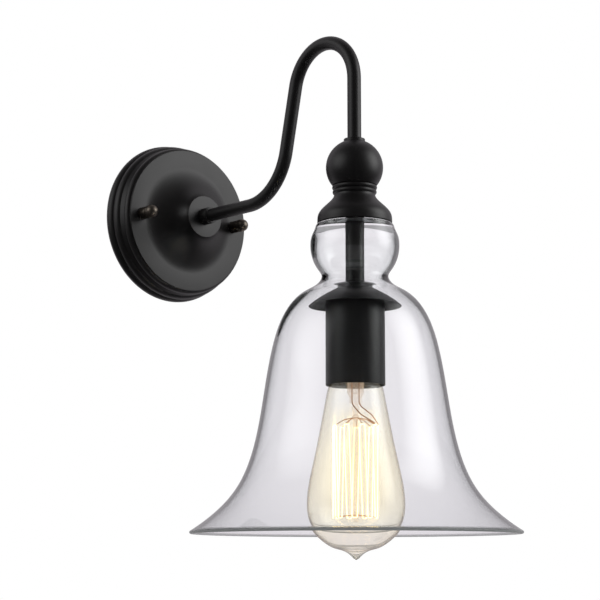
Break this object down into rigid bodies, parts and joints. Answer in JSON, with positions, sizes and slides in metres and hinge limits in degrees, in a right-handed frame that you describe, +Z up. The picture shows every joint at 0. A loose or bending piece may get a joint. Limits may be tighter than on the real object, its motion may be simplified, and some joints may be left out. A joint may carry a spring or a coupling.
{
  "type": "wall sconce",
  "caption": "Wall sconce with a gooseneck arm on a round stepped backplate, a turned ball and cap, a clear glass bell shade with a globe neck, and a caged-filament screw bulb.",
  "frame": {"origin": "centre of the backplate's back, on the wall plane", "axes": "+Z up, the wall is the plane Y = 0 and the lamp stands out towards -Y, +X to the right as seen from the room"},
  "size_m": [0.2202, 0.3221, 0.3634],
  "materials": {
    "black_paint": "satin black powder coat",
    "dark_bronze": "dark burnished",
    "zinc": "zinc plated",
    "green_zinc": "green passivated",
    "brass": "bright",
    "nickel": "nickel plated",
    "fibre": "matt",
    "phenolic": "moulded, matt",
    "white_plastic": "moulded, matt",
    "live_insulation": "pvc",
    "neutral_insulation": "pvc",
    "clear_glass": "clear blown glass, faintly green",
    "bulb_glass": "clear, faintly amber",
    "black_glass": "black glass insulator",
    "tungsten": "glowing filament",
    "copper_wire": "copper-plated wire"
  },
  "bodies": {
    "fixture": {"backplate": "black_paint", "hub_washer": "black_paint", "arm_collar": "black_paint", "gooseneck_arm": "black_paint", "arm_nipple": "zinc", "lock_washer": "zinc", "lock_nut": "zinc", "crossbar": "zinc", "studs": "zinc", "stud_lock_nuts": "zinc", "ground_screw": "green_zinc", "terminal_block": "white_plastic", "block_screws": "brass", "ball": "black_paint", "neck_ring": "black_paint", "shade_cap": "black_paint", "stem_nipple": "zinc", "upper_gasket": "fibre", "glass_shade": "clear_glass", "lower_gasket": "fibre", "clamp_washer": "zinc", "down_tube": "black_paint", "shade_disc": "black_paint", "disc_lock_nut": "zinc", "socket_cup": "black_paint", "socket_lock_nut": "zinc", "socket_nipple": "zinc", "lampholder_cap": "phenolic", "lampholder_body": "phenolic", "screw_shell": "brass", "centre_contact": "brass", "terminal_screws": "brass", "live_wire": "live_insulation", "neutral_wire": "neutral_insulation"},
    "bulb": {"bulb_envelope": "bulb_glass", "bulb_base_shell": "nickel", "bulb_base_insulator": "black_glass", "bulb_base_contact": "nickel", "bulb_stem": "bulb_glass", "filament_rod": "bulb_glass", "upper_supports": "copper_wire", "lower_supports": "copper_wire", "filament": "tungsten", "lead_wires": "copper_wire"},
    "left_nut": {"left_cap_nut": "dark_bronze"},
    "right_nut": {"right_cap_nut": "dark_bronze"}
  },
  "joints": [
    {"name": "bulb_out", "type": "slide", "parent": "fixture", "child": "bulb", "axis": [0, 0, -1], "range_m": [0, 0.14]},
    {"name": "left_nut_off", "type": "slide", "parent": "fixture", "child": "left_nut", "axis": [0, -1, 0], "range_m": [0, 0.014]},
    {"name": "right_nut_off", "type": "slide", "parent": "fixture", "child": "right_nut", "axis": [0, -1, 0], "range_m": [0, 0.014]}
  ]
}
